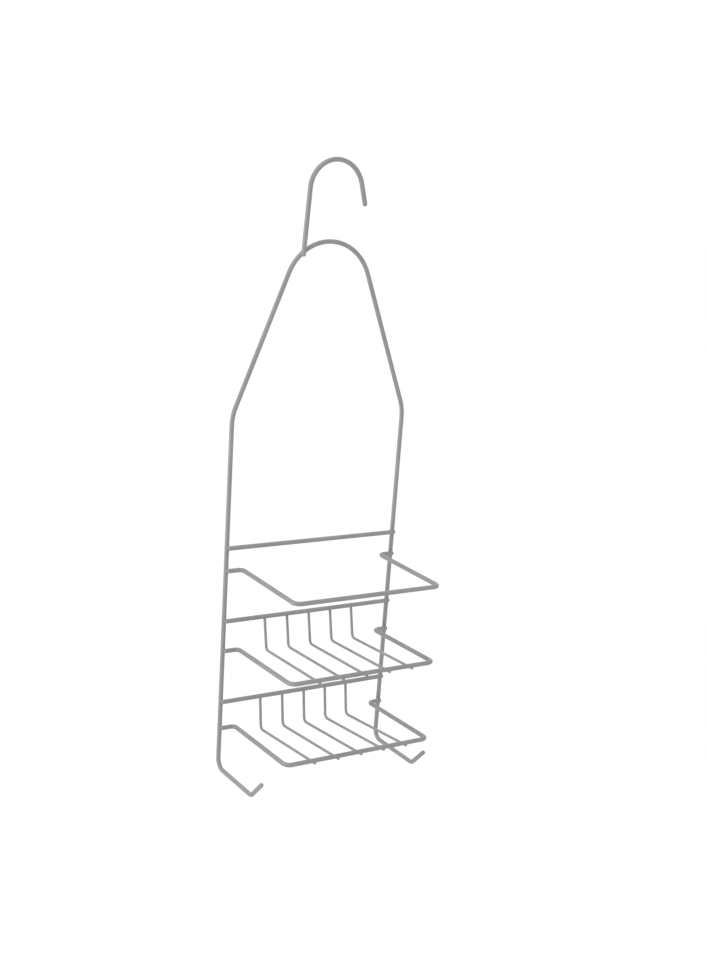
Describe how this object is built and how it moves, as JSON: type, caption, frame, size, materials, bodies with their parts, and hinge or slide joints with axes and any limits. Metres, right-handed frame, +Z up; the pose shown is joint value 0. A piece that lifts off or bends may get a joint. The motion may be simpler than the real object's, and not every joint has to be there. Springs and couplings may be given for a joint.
{
  "type": "shower caddy",
  "caption": "Tall hanging shower caddy of coated bent wire: a hook over an arched frame, an open bottle ring, wire-floored shelves and upturned towel hooks at its feet.",
  "frame": {"origin": "the saddle of the hanging hook: the point under the top of its arc that rests on a shower arm, in the middle of the hook's wire", "axes": "+Z up, +X to the right as seen from the front, -Y forward from the wall towards the bather"},
  "size_m": [0.2044, 0.116, 0.6201],
  "materials": {
    "coated_wire": "satin grey coating on steel wire",
    "thin_coated_wire": "satin grey coating on thin steel wire"
  },
  "bodies": {
    "root": {"hanging_hook": "coated_wire", "frame_wire": "coated_wire", "top_crossbar": "coated_wire", "middle_crossbar": "coated_wire", "bottom_crossbar": "coated_wire", "top_ring": "coated_wire", "middle_rim": "coated_wire", "bottom_rim": "coated_wire", "middle_floor_wire_1": "thin_coated_wire", "middle_floor_wire_2": "thin_coated_wire", "middle_floor_wire_3": "thin_coated_wire", "middle_floor_wire_4": "thin_coated_wire", "middle_floor_wire_5": "thin_coated_wire", "bottom_floor_wire_1": "thin_coated_wire", "bottom_floor_wire_2": "thin_coated_wire", "bottom_floor_wire_3": "thin_coated_wire", "bottom_floor_wire_4": "thin_coated_wire", "bottom_floor_wire_5": "thin_coated_wire"}
  },
  "joints": []
}
